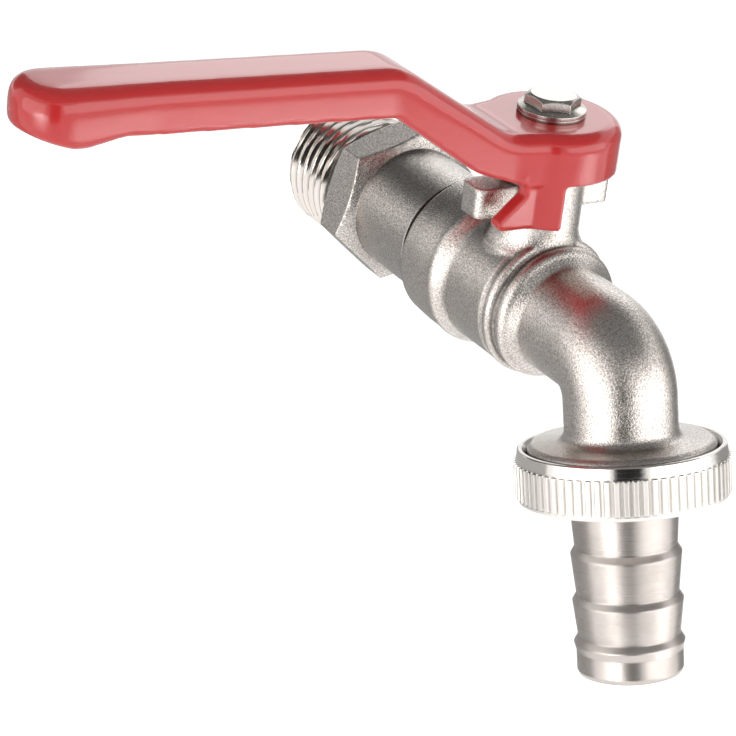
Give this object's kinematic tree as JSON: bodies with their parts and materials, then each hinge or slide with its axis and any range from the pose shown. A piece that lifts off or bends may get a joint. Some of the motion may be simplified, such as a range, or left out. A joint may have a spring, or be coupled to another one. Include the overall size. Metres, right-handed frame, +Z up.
{
  "type": "lever ball tap with hose union",
  "caption": "Plated wall tap with a quarter-turn red lever, hexagon inlet with male thread, bent spout, ribbed union nut and barbed hose tail.",
  "frame": {"origin": "on the body axis at the shoulder where the inlet thread leaves the hexagon", "axes": "+Y along the inlet thread towards the wall, +Z up along the stem, +X to the right of someone facing the wall"},
  "size_m": [0.0978, 0.096, 0.0857],
  "materials": {
    "blasted_plating": "sand-blasted nickel plating on brass",
    "turned_plating": "bright nickel plating on turned brass",
    "satin_plating": "satin nickel plating on turned brass",
    "ball_chrome": "polished chrome",
    "stem_brass": "turned brass",
    "red_enamel": "gloss red stove enamel on pressed steel",
    "zinc_steel": "bright zinc plating",
    "seat_plastic": "white fluoroplastic",
    "seal_rubber": "black nitrile"
  },
  "bodies": {
    "valve_body": {"body": "blasted_plating", "inlet_connector": "turned_plating", "inlet_seat": "seat_plastic", "outlet_seat": "seat_plastic"},
    "handle": {"lever": "red_enamel", "screw_washer": "zinc_steel", "lever_screw": "zinc_steel", "stem": "stem_brass", "thrust_washer": "seat_plastic", "lower_stem_ring": "seal_rubber", "upper_stem_ring": "seal_rubber", "ball": "ball_chrome"},
    "tail": {"hose_tail": "satin_plating", "tail_gasket": "seal_rubber"},
    "nut": {"union_nut": "turned_plating"}
  },
  "joints": [
    {"name": "lever_turn", "type": "hinge", "parent": "valve_body", "child": "handle", "pos_m": [0, -0.039, 0], "axis": [0, 0, 1], "range_deg": [0, 90]},
    {"name": "tail_draw", "type": "slide", "parent": "valve_body", "child": "tail", "axis": [0, -0.299, -0.9542], "range_m": [0, 0.00363]},
    {"name": "nut_turn", "type": "hinge", "parent": "tail", "child": "nut", "pos_m": [0, -0.06639, -0.01431], "axis": [0, -0.299, -0.9542], "range_deg": [0, 720]}
  ],
  "couplings": [
    {"joint": "nut_turn", "follows": "tail_draw", "rad_per_m": 3463.2}
  ]
}
